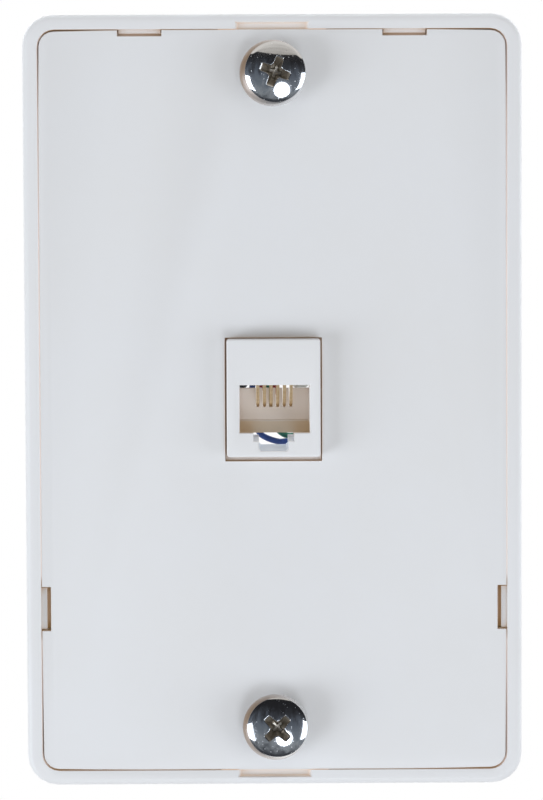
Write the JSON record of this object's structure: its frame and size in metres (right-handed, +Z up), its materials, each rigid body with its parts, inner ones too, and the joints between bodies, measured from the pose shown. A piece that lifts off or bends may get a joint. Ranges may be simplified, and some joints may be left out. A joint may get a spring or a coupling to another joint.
{
  "type": "telephone wall socket",
  "caption": "White wall plate with a modular telephone jack, two chrome hanging studs for a wall telephone and screw terminals at the back.",
  "frame": {"origin": "middle of the wall plane, which is the back face of the frame's rim", "axes": "+Z up the wall, -Y out of the wall towards the user, +X to the user's right when facing the plate"},
  "size_m": [0.0758, 0.0215, 0.1176],
  "materials": {
    "white_plastic": "fine satin moulding texture",
    "grey_plastic": "satin moulding",
    "ivory_plastic": "satin moulding",
    "polished_chrome": "polished plating",
    "plated_steel": "bright zinc plating",
    "gold_wire": "gold plating, drawn wire",
    "tinned_brass": "tinned",
    "blue_insulation": "extruded insulation",
    "yellow_insulation": "extruded insulation",
    "green_insulation": "extruded insulation",
    "red_insulation": "extruded insulation",
    "black_insulation": "extruded insulation",
    "white_insulation": "extruded insulation"
  },
  "bodies": {
    "root": {"frame": "white_plastic", "cover": "white_plastic", "jack_housing": "white_plastic", "terminal_block": "grey_plastic", "contact_comb": "ivory_plastic", "upper_stud": "polished_chrome", "lower_stud": "polished_chrome", "upper_stud_nut": "plated_steel", "lower_stud_nut": "plated_steel", "upper_block_screw": "plated_steel", "lower_block_screw": "plated_steel", "contact_1": "gold_wire", "contact_2": "gold_wire", "contact_3": "gold_wire", "contact_4": "gold_wire", "contact_5": "gold_wire", "contact_6": "gold_wire", "blue_lead": "blue_insulation", "blue_lug": "tinned_brass", "blue_terminal_screw": "plated_steel", "yellow_lead": "yellow_insulation", "yellow_lug": "tinned_brass", "yellow_terminal_screw": "plated_steel", "green_lead": "green_insulation", "green_lug": "tinned_brass", "green_terminal_screw": "plated_steel", "red_lead": "red_insulation", "red_lug": "tinned_brass", "red_terminal_screw": "plated_steel", "black_lead": "black_insulation", "black_lug": "tinned_brass", "black_terminal_screw": "plated_steel", "white_lead": "white_insulation", "white_lug": "tinned_brass", "white_terminal_screw": "plated_steel"}
  },
  "joints": []
}
